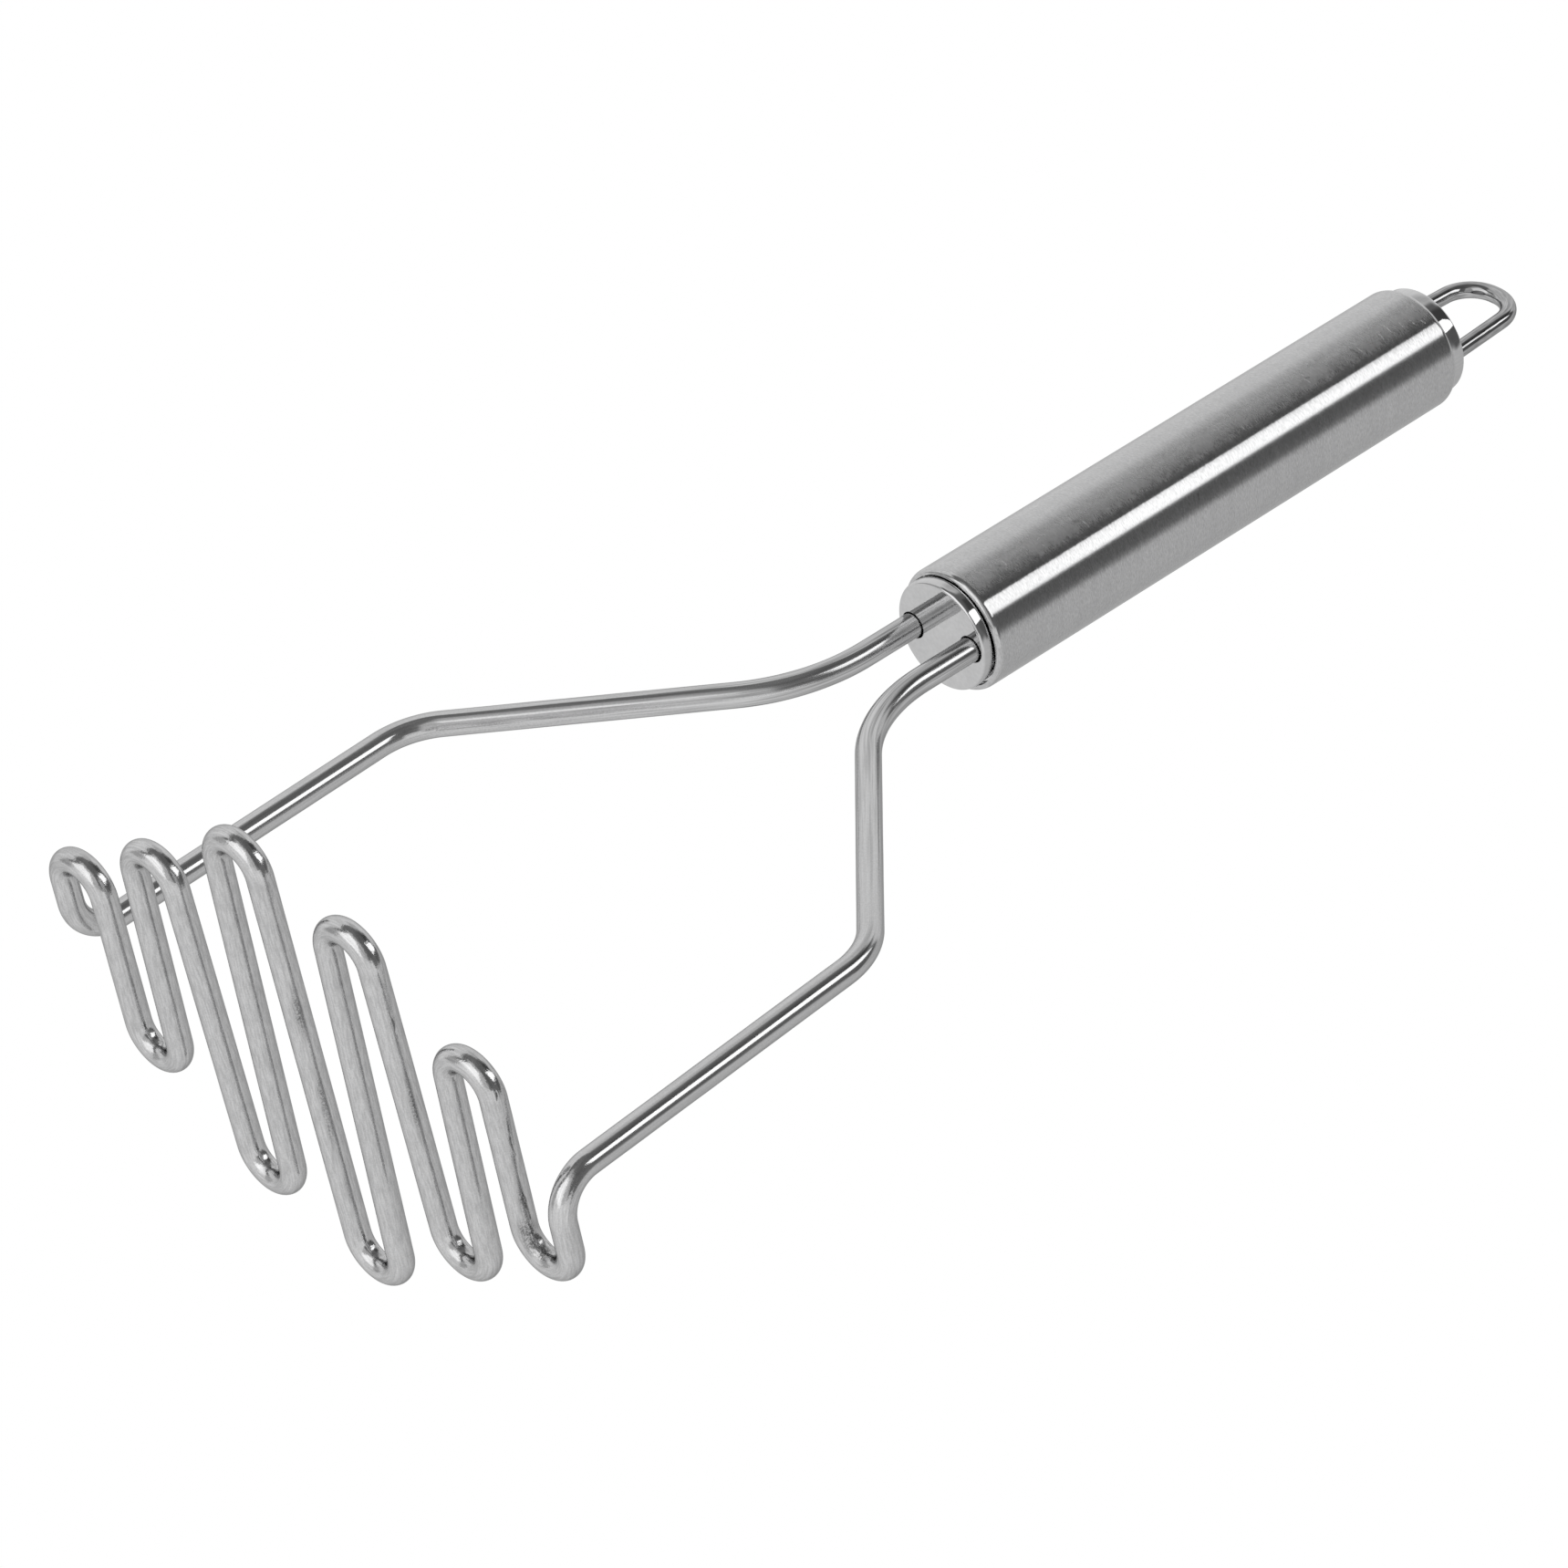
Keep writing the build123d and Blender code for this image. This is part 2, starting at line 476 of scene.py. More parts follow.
def handle_tube_mesh():
    """Tube with rounded rims, with a map that runs along it and round it."""
    outer = tube_d / 2
    flat = outer - rim_round
    lip = [(bore_r + z, tube_start + r)
           for r, z in reversed(quarter(0, 0, rim_lip, rim_lip, rim_lip_steps))]
    low = lip + quarter(flat, tube_start, outer, tube_start + rim_roll, rim_steps)
    high = [(r, tube_start + tube_end - z) for r, z in reversed(low)]
    outline = landed(low + high)
    outline += [(bore_r, tube_start + tube_length * i / bore_rows) for i in range(bore_rows - 1, 0, -1)]
    bm = bmesh.new()
    rings = [ring(bm, r, z, lathe_sides) for r, z in outline]
    for i in range(len(rings)):
        join_rings(bm, rings[i], rings[(i + 1) % len(rings)])
    mapping = bm.loops.layers.uv.new("brushed")
    for face in bm.faces:
        turns = [math.atan2(corner.vert.co.y, corner.vert.co.x) / (2 * math.pi) for corner in face.loops]
        wraps = max(turns) - min(turns) > 0.5
        for corner, turn in zip(face.loops, turns):
            corner[mapping].uv = (corner.vert.co.z / map_run, turn + 1 if wraps and turn < 0 else turn)
    return finish_mesh(bm, "handle_tube_skin", handle_place)


def cap_mesh(name, face, rim, back, span, wire_size, turn, slip, place):
    """Cap with a rounded nose edge and two holes, built upwards from its face."""
    shown = abs(rim - face)
    nose_length = shown + nose_gap_depth
    depth = abs(back - face)
    profile = quarter(nose_r - nose_round, 0, nose_r, nose_round, nose_steps)
    row = (nose_length - nose_round) / nose_rows
    profile += [(nose_r, nose_round + row * i) for i in range(1, nose_rows + 1)]
    profile = [(r - nose_crown * (1 - 2 * min(z / shown, 1)) ** 2, z) for r, z in profile]
    profile.insert(0, (profile[0][0] - 2 * edge_land, 0))
    off = (slip * math.cos(nose_slip_turn), slip * math.sin(nose_slip_turn))
    bm = bmesh.new()
    rings = [ring(bm, r, z, lathe_sides, off) for r, z in profile]
    rings += [ring(bm, bore_r, z, lathe_sides) for z in (nose_length, nose_length + edge_land, depth)]
    for a, b in zip(rings, rings[1:]):
        join_rings(bm, a, b)
    hole_r = wire_size / 2 + hole_clearance
    spun = Matrix.Rotation(math.radians(turn), 2)
    mouths, ends = [rings[0]], [rings[-1]]
    for side in (-1, 1):
        centre = spun @ Vector((side * span / 2 + hole_slip, 0))
        lip = quarter(0, 0, hole_lip, hole_lip, hole_lip_steps)
        bore = [(hole_r + hole_lip + edge_land, 0)]
        bore += [(hole_r + hole_lip - r, z) for r, z in lip]
        bore += [(hole_r, hole_lip + edge_land), (hole_r, depth)]
        drilled = [ring(bm, r, z, hole_sides, centre) for r, z in bore]
        for a, b in zip(drilled, drilled[1:]):
            join_rings(bm, a, b)
        mouths.append(drilled[0])
        ends.append(drilled[-1])
    for loops in (mouths, ends):
        edges = [bm.edges.get((a, b)) for loop in loops for a, b in zip(loop, loop[1:] + loop[:1])]
        bmesh.ops.triangle_fill(bm, use_beauty=True, use_dissolve=False, edges=edges)
    return finish_mesh(bm, name, place)


# Finishes

# Colour of each steel, and how bright the wires' edges are
tube_steel = (0.54, 0.54, 0.543, 1)
wire_steel = (0.615, 0.615, 0.618, 1)
cap_steel = (0.62, 0.62, 0.623, 1)
loop_steel = (0.48, 0.48, 0.483, 1)
weld_steel = (0.36, 0.35, 0.34, 1)
wire_edge = 0.66

# Cloudy patterns: the scale that gives patches of 1 mm, the range that they mostly keep to, and the
# narrower band that streaks are drawn from
cloud_scale = 500
cloud_range = (0.25, 0.75)
streak_band = (0.3, 0.7)


def steel(name, colour, roughness, anisotropic=0.0, edge=1.0):
    """Bare steel; gives back the finish, its node tree and its shader."""
    finish = bpy.data.materials.new(name)
    finish.use_nodes = True
    tree = finish.node_tree
    shader = tree.nodes["Principled BSDF"]
    shader.inputs["Base Color"].default_value = colour
    shader.inputs["Metallic"].default_value = 1.0
    shader.inputs["Roughness"].default_value = roughness
    shader.inputs["Anisotropic"].default_value = anisotropic
    shader.inputs["Specular Tint"].default_value = (edge, edge, edge, 1)
    return finish, tree, shader


def object_point(tree):
    """Place on the piece, in metres."""
    return tree.nodes.new("ShaderNodeTexCoord").outputs["Object"]


def kept(tree, name, output):
    """Value that the mesh carries."""
    attribute = tree.nodes.new("ShaderNodeAttribute")
    attribute.attribute_name = name
    return attribute.outputs[output]


def placed(tree, point, centre=(0, 0, 0), turn=(0, 0, 0), size=(1, 1, 1)):
    """The point as seen from a box at centre, turned, and of the given size."""
    box = tree.nodes.new("ShaderNodeMapping")
    box.vector_type = "TEXTURE"
    box.inputs["Location"].default_value = centre
    box.inputs["Rotation"].default_value = turn
    box.inputs["Scale"].default_value = size
    tree.links.new(point, box.inputs["Vector"])
    return box.outputs["Vector"]


def in_handle(tree, point, round_stretch=1, long_stretch=1):
    """The point in the handle's own frame, so that a pattern comes out stretched round or along it."""
    size = (round_stretch, round_stretch, long_stretch)
    return placed(tree, point, handle_place.translation / per_metre, handle_place.to_euler(), size)


def noise(tree, point, size, detail):
    """Noise with patches of about the given size in millimetres."""
    node = tree.nodes.new("ShaderNodeTexNoise")
    node.inputs["Scale"].default_value = cloud_scale / size
    node.inputs["Detail"].default_value = detail
    tree.links.new(point, node.inputs["Vector"])
    return node


def cloud(tree, point, size, detail=soft_detail):
    """Cloudy pattern from 0 to 1 with patches of about the given size in millimetres."""
    return noise(tree, point, size, detail).outputs[0]


def between(tree, value, low, high):
    """A cloudy pattern brought between low and high."""
    return spread(tree, value, *cloud_range, low, high, "LINEAR")


def toned(tree, shader, colour, share):
    """Multiplies the steel's own colour by a share."""
    shaded = vector_sum(tree, "SCALE", colour[:3], share)
    tree.links.new(shaded, shader.inputs["Base Color"])


def relief(tree, shader, height, depth, under=None):
    """Raises the surface by height, which runs from 0 to 1, times depth in millimetres."""
    bump = tree.nodes.new("ShaderNodeBump")
    bump.inputs["Distance"].default_value = depth / per_metre
    tree.links.new(height, bump.inputs["Height"])
    if under is not None:
        tree.links.new(under, bump.inputs["Normal"])
    tree.links.new(bump.outputs["Normal"], shader.inputs["Normal"])
    return bump.outputs["Normal"]


def swing(tree, value, reach):
    """Turns a pattern from 0 to 1 into one from minus reach to reach."""
    return times(tree, math_node(tree, "SUBTRACT", value, 0.5), 2 * reach)


def leaning(tree, along, tip):
    """Normal that tips round the piece, about its length, by tip in radians."""
    normal = tree.nodes.new("ShaderNodeNewGeometry").outputs["Normal"]
    across = vector_sum(tree, "CROSS_PRODUCT", along, normal)
    tipped = vector_sum(tree, "ADD", normal, vector_sum(tree, "SCALE", across, tip))
    return vector_sum(tree, "NORMALIZE", tipped)


def along_wire(tree, diameter, stretch):
    """Point on the wire as if it was straight, so that a pattern comes out stretched along it."""
    side, run = kept(tree, "side", "Vector"), kept(tree, "run", "Fac")
    round_wire = vector_sum(tree, "SCALE", side, diameter / 2 / per_metre)
    upward = tree.nodes.new("ShaderNodeCombineXYZ")
    tree.links.new(math_node(tree, "DIVIDE", run, stretch), upward.inputs["Z"])
    return vector_sum(tree, "ADD", round_wire, upward.outputs[0])


def wander(tree, point, size, reach):
    """The point strayed by up to half of reach, both in millimetres, so that a straight mark wavers."""
    strays = noise(tree, point, size, plain_detail).outputs["Color"]
    offset = vector_sum(tree, "SUBTRACT", strays, (0.5, 0.5, 0.5))
    offset = vector_sum(tree, "SCALE", offset, reach / per_metre)
    return vector_sum(tree, "ADD", point, offset)


def mark(tree, point, centre, turn, half_length, half_width, soft):
    """Share of a rounded mark; sizes and place in millimetres, turn in degrees from X about Z."""
    size = metres((half_length, half_width, half_width))
    inside = placed(tree, point, metres(centre), (0, 0, math.radians(turn)), size)
    away = vector_sum(tree, "LENGTH", inside)
    return smooth_step(tree, away, 1.0, 1.0 - soft)


def strongest(tree, shares):
    """The greatest of several shares."""
    top = shares[0]
    for share in shares[1:]:
        top = math_node(tree, "MAXIMUM", top, share)
    return top


# Marks that the bending tools left on the wire: place, turn, half length and half width
crumpled_marks = (
    ((55.6, 14.2, 1.4), 78, 5.5, 2.6),
    ((57.6, 17.6, 2.0), 20, 3.0, 2.0),
)
worn_marks = (
    ((2.4, -12.5, 1.2), 92, 9.0, 1.5),
    ((2.9, 6.0, 1.2), 92, 19.0, 1.3),
    ((3.4, 24.0, 1.4), 92, 12.0, 1.0),
    ((29.9, -5.0, 1.6), 92, 14.0, 1.1),
    ((55.6, 6.0, 1.6), 92, 8.0, 1.3),
)
creases = (
    ((16.1, -36.7, 1.2), 60, 1.6, 0.3),
    ((29.1, -20.5, 2.1), 88, 4.0, 0.35),
    ((29.6, -17.2, 1.4), 10, 1.0, 0.35),
    ((54.9, -14.8, 2.0), 88, 4.5, 0.4),
    ((55.3, -5.6, 2.3), 93, 4.5, 0.35),
    ((55.4, 8.5, 2.2), 88, 5.0, 0.35),
)

# Share of a mark over which it fades out, and how the creases waver, in millimetres
firm_edge = 0.6
faint_edge = 0.9
crease_waver_size = 1.6
crease_waver = 0.9

# Patterns on the wire: sizes in millimetres, and how far the drawing lines and the grain stretch
line_size = 0.16
line_stretch = 45.0
grain_size = 0.15
grain_stretch = 9.0
pit_size = 0.16
drift_size = 2.6
dent_size = 0.7

# Heights over which the head's finish begins and the deeper lines below the cap begin, in millimetres
head_heights = (12.0, 4.0)
near_cap_heights = (85.0, 150.0)

# Roughness of the wire: its plain value, the head's least and what its drift and pits add, the arms'
# range, and what the stretch below the cap, wear and crumpling add
wire_rough = 0.1
head_rough = 0.10
drift_rough = 0.03
pit_rough = 0.04
arm_rough_range = (0.11, 0.18)
near_cap_rough = 0.03
worn_rough = 0.06
crumpled_rough = 0.08

# Tones of the wire, as shares of its colour
arm_line_tones = (0.91, 1.06)
arm_pit_tones = (0.94, 1.05)
deep_line_band = (0.3, 0.65)
deep_line_tones = (0.62, 1.12)
grain_tones = (0.86, 1.10)
head_pit_tones = (0.93, 1.06)
drift_tones = (0.95, 1.04)
wear_shares = (0.6, 1.5)
spot_band = (0.40, 0.60)
rubbed_tone = -0.13
spot_tone = -0.50
crease_tone = -0.48

# How far the drawing lines lean, in radians, what nearness to the cap and the head change in it, the
# share of the pits that the arms have, and the depths of pits, dents and creases in millimetres
line_lean = 0.025
near_cap_lean_share = 2.4
head_lean_share = -0.5
arm_pit_share = 0.2
pit_depth = 0.018
dent_depth = 0.14
crease_depth = 0.08


def drawn_wire():
    """Drawn wire: lengthwise streaks on the arms, fine pitting and tool marks underneath the head."""
    finish, tree, shader = steel("drawn_wire", wire_steel, wire_rough, edge=wire_edge)
    point = object_point(tree)
    lines = cloud(tree, along_wire(tree, wire_d, line_stretch), line_size, fine_detail)
    grain = cloud(tree, along_wire(tree, wire_d, grain_stretch), grain_size, fine_detail)
    pits = cloud(tree, point, pit_size, fine_detail)
    drift = cloud(tree, point, drift_size)

    height = coordinate(tree, point, "Z")
    on_head = smooth_step(tree, height, *metres(head_heights))
    near_cap = smooth_step(tree, height, *metres(near_cap_heights))

    crumpled = strongest(tree, [mark(tree, point, *m, firm_edge) for m in crumpled_marks])
    worn = strongest(tree, [mark(tree, point, *m, faint_edge) for m in worn_marks])
    wavered = wander(tree, point, crease_waver_size, crease_waver)
    creased = strongest(tree, [mark(tree, wavered, *m, firm_edge) for m in creases])

    on_head_rough = plus(tree, head_rough, between(tree, drift, 0, 1), drift_rough)
    on_head_rough = plus(tree, on_head_rough, between(tree, pits, 0, 1), pit_rough)
    on_arm_rough = plus(tree, between(tree, lines, *arm_rough_range), near_cap, near_cap_rough)
    rough = blend_in(tree, on_arm_rough, on_head_rough, on_head)
    rough = plus(tree, rough, worn, worn_rough)
    rough = plus(tree, rough, crumpled, crumpled_rough)
    tree.links.new(rough, shader.inputs["Roughness"])

    streaks = times(tree, smooth_step(tree, lines, *streak_band, *arm_line_tones),
                    smooth_step(tree, pits, *streak_band, *arm_pit_tones))
    deeper = smooth_step(tree, lines, *deep_line_band, *deep_line_tones)
    streaks = blend_in(tree, streaks, deeper, near_cap)
    mottle = times(tree, smooth_step(tree, grain, *streak_band, *grain_tones),
                   smooth_step(tree, pits, *streak_band, *head_pit_tones))
    mottle = times(tree, mottle, between(tree, drift, *drift_tones))
    tone = blend_in(tree, streaks, mottle, on_head)
    rubbed = times(tree, worn, between(tree, drift, *wear_shares))
    rubbed = math_node(tree, "MAXIMUM", rubbed, crumpled)
    spots = times(tree, smooth_step(tree, pits, *spot_band), rubbed)
    tone = plus(tree, tone, rubbed, rubbed_tone)
    tone = plus(tree, tone, spots, spot_tone)
    tone = plus(tree, tone, creased, crease_tone)
    toned(tree, shader, wire_steel, tone)

    reach = plus(tree, 1.0, near_cap, near_cap_lean_share)
    reach = plus(tree, reach, on_head, head_lean_share)
    tip = times(tree, swing(tree, lines, line_lean), reach)
    drawn = leaning(tree, kept(tree, "along", "Vector"), tip)
    pitting = times(tree, pits, math_node(tree, "ADD", on_head, arm_pit_share))
    surface = relief(tree, shader, pitting, pit_depth, drawn)
    dents = times(tree, cloud(tree, point, dent_size, fine_detail), crumpled)
    surface = relief(tree, shader, dents, dent_depth, surface)
    relief(tree, shader, creased, -crease_depth, surface)
    return finish


# Scratches on the tube, in millimetres and degrees: height up the handle, turn from +X, way, half length.
# The first set are real scratches painted lighter as a painted glint
glinting_scratches = (
    (137.2, -58.4, 84, 0.9), (143.4, -60.2, 97, 0.8), (145.9, -62.8, 86, 1.0), (149.0, -60.3, 93, 0.7),
    (151.4, -57.6, 82, 0.8), (153.6, -51.2, 64, 0.5), (66.5, -36.4, 82, 0.9), (39.8, -64.5, 88, 0.6),
    (59.8, -56.8, 85, 1.1), (49.2, -59.6, 94, 0.9), (103.0, -57.5, 90, 0.8), (122.4, -61.0, 76, 0.7),
)
dark_scratches = (
    (135.9, -61.5, 68, 0.7), (58.6, -62.4, 28, 0.5), (38.3, -65.5, 40, 0.4), (85.3, -24.4, 105, 0.5),
    (122.9, -63.4, 18, 0.4),
)

# Half widths of the scratches, how far they fade, and the brushing that breaks them up
glinting_half_width = 0.10
dark_half_width = 0.22
scratch_fade_share = 1.8
scratch_break_band = (0.35, 0.6)

# Band along the tube that the hand has rubbed: start, full, still full and end, in turns from +X
rubbed_band = (-0.225, -0.190, -0.158, -0.128)

# Patterns on the tube: sizes in millimetres, and how far brushing, dashes and rings stretch round it
brush_size = 0.10
brush_stretch = 4
dash_size = 0.11
dash_stretch = 5
ring_size = 0.9
ring_stretch = 60
group_size = 2.4
smudge_size = 12.0

# Polished end of each rim, how softly the brushing begins there and how far single lines reach over it
polished_rim = 1.2
polished_rim_fade = 0.35
polished_rim_stray = 0.4

# Roughness of the tube: its plain value, the rings' range, the rims', and what rubbing, its ticks and
# scratches add
tube_rough = 0.23
ring_rough_range = (0.165, 0.195)
rim_rough = 0.10
rubbed_rough = 0.13
tick_rough = 0.20
scratch_rough = 0.3

# Tones of the tube as shares of its colour, patchiness of the rubbing, and leans in radians
brush_tones = (0.84, 1.16)
ring_tones = (0.96, 1.04)
smudge_tones = (0.97, 1.03)
# Painted glint: how much lighter the first set of scratches is painted
glint_tone = 0.6
dark_tone = -0.55
group_shares = (0.3, 1.0)
tick_band = (0.42, 0.60)
dash_lean = 0.14
brush_lean = 0.014


def scratch(tree, unrolled, height, round_angle, way, half_length, half_width):
    """Share of one straight scratch on the unrolled tube, whose map is in millimetres."""
    centre = (height, math.radians(round_angle) * tube_d / 2, 0)
    point = placed(tree, unrolled, centre, (0, 0, math.radians(way)))
    point = vector_sum(tree, "ABSOLUTE", point)
    point = vector_sum(tree, "SUBTRACT", point, (half_length, 0, 0))
    point = vector_sum(tree, "MAXIMUM", point, (0, 0, 0))
    return smooth_step(tree, vector_sum(tree, "LENGTH", point), half_width * scratch_fade_share, 0.0)


def brushed_tube():
    """Tube brushed round and round, with polished rims, a rubbed band and a few scratches, some of them
    painted lighter as a painted glint.
    """
    finish, tree, shader = steel("brushed_tube", tube_steel, tube_rough, anisotropic=1.0)
    lengthwise = tree.nodes.new("ShaderNodeTangent")
    lengthwise.direction_type = "UV_MAP"
    lengthwise.uv_map = "brushed"
    tree.links.new(lengthwise.outputs["Tangent"], shader.inputs["Tangent"])
    point = object_point(tree)
    lines = cloud(tree, in_handle(tree, point, brush_stretch), brush_size, fine_detail)
    dashes = cloud(tree, in_handle(tree, point, dash_stretch), dash_size, fine_detail)
    groups = cloud(tree, point, group_size)
    rings = cloud(tree, in_handle(tree, point, ring_stretch), ring_size, fine_detail)
    smudge = cloud(tree, point, smudge_size)

    height = coordinate(tree, in_handle(tree, point), "Z")
    from_start = math_node(tree, "SUBTRACT", height, tube_start / per_metre)
    from_end = math_node(tree, "SUBTRACT", tube_end / per_metre, height)
    from_rim = math_node(tree, "MINIMUM", from_start, from_end)
    from_rim = plus(tree, from_rim, lines, polished_rim_stray / per_metre)
    brushed = smooth_step(tree, from_rim, *metres((polished_rim, polished_rim + polished_rim_fade)))

    flat = tree.nodes.new("ShaderNodeUVMap")
    flat.uv_map = "brushed"
    unrolled = vector_sum(tree, "MULTIPLY", flat.outputs["UV"], (map_run, math.pi * tube_d, 0))
    broken = smooth_step(tree, lines, *scratch_break_band)
    # The first set of scratches is roughened and painted lighter as a painted glint; the second set is
    # darker
    bright = [scratch(tree, unrolled, *s, glinting_half_width) for s in glinting_scratches]
    bright = times(tree, strongest(tree, bright), broken)
    dark = [scratch(tree, unrolled, *s, dark_half_width) for s in dark_scratches]
    dark = times(tree, strongest(tree, dark), broken)

    tone = between(tree, lines, *brush_tones)
    tone = times(tree, tone, between(tree, rings, *ring_tones))
    tone = times(tree, tone, between(tree, smudge, *smudge_tones))
    # Painted glint: lightens the colour of the first set of scratches
    tone = plus(tree, tone, bright, glint_tone)
    tone = plus(tree, tone, dark, dark_tone)
    toned(tree, shader, tube_steel, tone)

    turned = coordinate(tree, flat.outputs["UV"], "Y")
    start, full, still_full, end = rubbed_band
    rubbed = times(tree, smooth_step(tree, turned, start, full), smooth_step(tree, turned, end, still_full))
    rubbed = times(tree, rubbed, between(tree, groups, *group_shares))
    ticks = times(tree, smooth_step(tree, dashes, *tick_band), rubbed)
    rough = between(tree, rings, *ring_rough_range)
    rough = plus(tree, rough, rubbed, rubbed_rough)
    rough = plus(tree, rough, ticks, tick_rough)
    rough = plus(tree, rough, bright, scratch_rough)
    rough = blend_in(tree, rim_rough, rough, brushed)
    tree.links.new(rough, shader.inputs["Roughness"])

    tip = times(tree, swing(tree, dashes, dash_lean), rubbed)
    tip = math_node(tree, "ADD", tip, swing(tree, lines, brush_lean))
    tip = times(tree, tip, brushed)
    axis = tuple(handle_place.to_3x3() @ Vector((0, 0, 1)))
    tree.links.new(leaning(tree, axis, tip), shader.inputs["Normal"])
    return finish


# Caps: pattern sizes in millimetres, how far the buffing lines stretch, and where the end face begins
haze_size = 2.2
buff_size = 0.4
buff_stretch = 8
turning_size = 0.14
end_face_depths = (0.30, 0.03)
buff_depth = 0.004

# Roughness and tones of the caps: plain, polished and on the end face; the end face's darker tones are
# painted shade against the softbox's reflection
cap_rough = 0.06
polished_rough_range = (0.03, 0.09)
turned_rough_range = (0.36, 0.44)
buff_tones = (0.93, 1.03)
haze_tones = (0.94, 1.03)
turned_and_shaded_tones = (0.70, 0.88)


def polished_cap():
    """Mirror-polished cap with faint buffing lines; the end face between the loop's legs is only turned, and
    its colour is darkened as painted shade.
    """
    finish, tree, shader = steel("polished_cap", cap_steel, cap_rough)
    point = object_point(tree)
    haze = cloud(tree, point, haze_size, fine_detail)
    buffed = cloud(tree, in_handle(tree, point, long_stretch=buff_stretch), buff_size, fine_detail)

    on_axis = in_handle(tree, point)
    end_face = metres(rear_face - depth for depth in end_face_depths)
    on_end = smooth_step(tree, coordinate(tree, on_axis, "Z"), *end_face)
    from_axis = vector_sum(tree, "LENGTH", vector_sum(tree, "MULTIPLY", on_axis, (1, 1, 0)))
    circle = tree.nodes.new("ShaderNodeCombineXYZ")
    tree.links.new(from_axis, circle.inputs["X"])
    turning = cloud(tree, circle.outputs[0], turning_size, fine_detail)

    rough = blend_in(tree, between(tree, haze, *polished_rough_range),
                     between(tree, haze, *turned_rough_range), on_end)
    tree.links.new(rough, shader.inputs["Roughness"])
    tone = times(tree, between(tree, buffed, *buff_tones), between(tree, haze, *haze_tones))
    # Painted shade: the end face's colour is darkened, with its turning rings in it
    tone = blend_in(tree, tone, between(tree, turning, *turned_and_shaded_tones), on_end)
    toned(tree, shader, cap_steel, tone)
    relief(tree, shader, buffed, buff_depth)
    return finish


# Loop: patterns in millimetres, roughness, tones and lean
loop_line_size = 0.16
loop_line_stretch = 10.0
loop_haze_size = 1.2
loop_rough = 0.08
loop_rough_range = (0.04, 0.09)
loop_line_tones = (0.72, 1.15)
loop_haze_tones = (0.9, 1.1)
loop_lean = 0.07


def polished_wire():
    """Polished thin wire with lengthwise drawing lines."""
    finish, tree, shader = steel("polished_wire", loop_steel, loop_rough, edge=wire_edge)
    lines = cloud(tree, along_wire(tree, loop_wire_d, loop_line_stretch), loop_line_size, fine_detail)
    haze = cloud(tree, object_point(tree), loop_haze_size)
    tree.links.new(between(tree, haze, *loop_rough_range), shader.inputs["Roughness"])
    tone = times(tree, smooth_step(tree, lines, *streak_band, *loop_line_tones),
                 between(tree, haze, *loop_haze_tones))
    toned(tree, shader, loop_steel, tone)
    tip = swing(tree, lines, loop_lean)
    tree.links.new(leaning(tree, kept(tree, "along", "Vector"), tip), shader.inputs["Normal"])
    return finish


# Weld beads: blue and straw heat colours, patterns in millimetres, roughness and ripples
heat_colours = ((0.35, (0.30, 0.32, 0.40, 1)), (0.65, (0.48, 0.41, 0.30, 1)))
heat_size = 1.5
weld_rough = 0.4
weld_rough_size = 0.5
weld_rough_range = (0.28, 0.5)
ripple_scale = 900.0
ripple_waver = 3.0
ripple_depth = 0.05


def weld_metal():
    """Weld bead with cooling ripples and a straw and blue heat tint."""
    finish, tree, shader = steel("weld_metal", weld_steel, weld_rough)
    point = object_point(tree)
    tint = tree.nodes.new("ShaderNodeValToRGB")
    for stop, (position, colour) in zip(tint.color_ramp.elements, heat_colours):
        stop.position = position
        stop.color = colour
    tree.links.new(cloud(tree, point, heat_size), tint.inputs["Fac"])
    tree.links.new(tint.outputs["Color"], shader.inputs["Base Color"])
    ripples = tree.nodes.new("ShaderNodeTexWave")
    ripples.wave_type = "RINGS"
    ripples.rings_direction = "Z"
    ripples.inputs["Scale"].default_value = ripple_scale
    ripples.inputs["Distortion"].default_value = ripple_waver
    tree.links.new(point, ripples.inputs["Vector"])
    rough = between(tree, cloud(tree, point, weld_rough_size), *weld_rough_range)
    tree.links.new(rough, shader.inputs["Roughness"])
    relief(tree, shader, ripples.outputs["Fac"], ripple_depth)
    return finish


# Pieces

def make_pieces():
    """Every piece with its finish, on its body and in place of its node."""
    tree = wire_tree()
    wire = wire_piece("masher_wire_drawn", masher_wire_line(), wire_d, wire_sides, wire_waviness,
                      drawn_wire(), tree)
    loop = wire_piece("hanging_loop_bent", hanging_loop_line(), loop_wire_d, loop_sides, loop_waviness,
                      polished_wire(), tree)
    tube = object_from("handle_tube_brushed", handle_tube_mesh(), brushed_tube())
    cap_finish = polished_cap()
    at_front = handle_place @ Matrix.Translation((0, 0, front_face))
    at_rear = handle_place @ Matrix.Translation((0, 0, rear_face)) @ Matrix.Rotation(math.pi, 4, "X")
    front = object_from("front_cap_polished", cap_mesh(
        "front_cap_skin", front_face, tube_start, front_back, tang_span, wire_d, 0, front_slip,
        at_front), cap_finish)
    rear = object_from("rear_cap_polished", cap_mesh(
        "rear_cap_skin", rear_face, tube_end, rear_back, loop_root_span, loop_wire_d, -loop_turn,
        rear_slip, at_rear), cap_finish)
    for piece, node, slot in ((wire, "masher_wire", "drawn_wire"), (loop, "hanging_loop", "polished_wire"),
                              (tube, "handle_tube", "brushed_tube"), (front, "front_cap", "polished_cap"),
                              (rear, "rear_cap", "polished_cap")):
        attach(piece, "root")
        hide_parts(node)
    weld_finish = weld_metal()
    for node in ("tang_welds", "loop_welds"):
        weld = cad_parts[node]
        weld.data.materials.clear()
        weld.data.materials.append(weld_finish)


# Camera: place in metres, turn in radians, lens and film in millimetres
camera_place = Vector((0.841799, -0.701192, -0.527467))
camera_turn = (2.3674617, -0.7872044, 0.2419696)
camera_lens = 159.456
film_width = 36.0
nearest_seen = 0.05
farthest_seen = 50.0


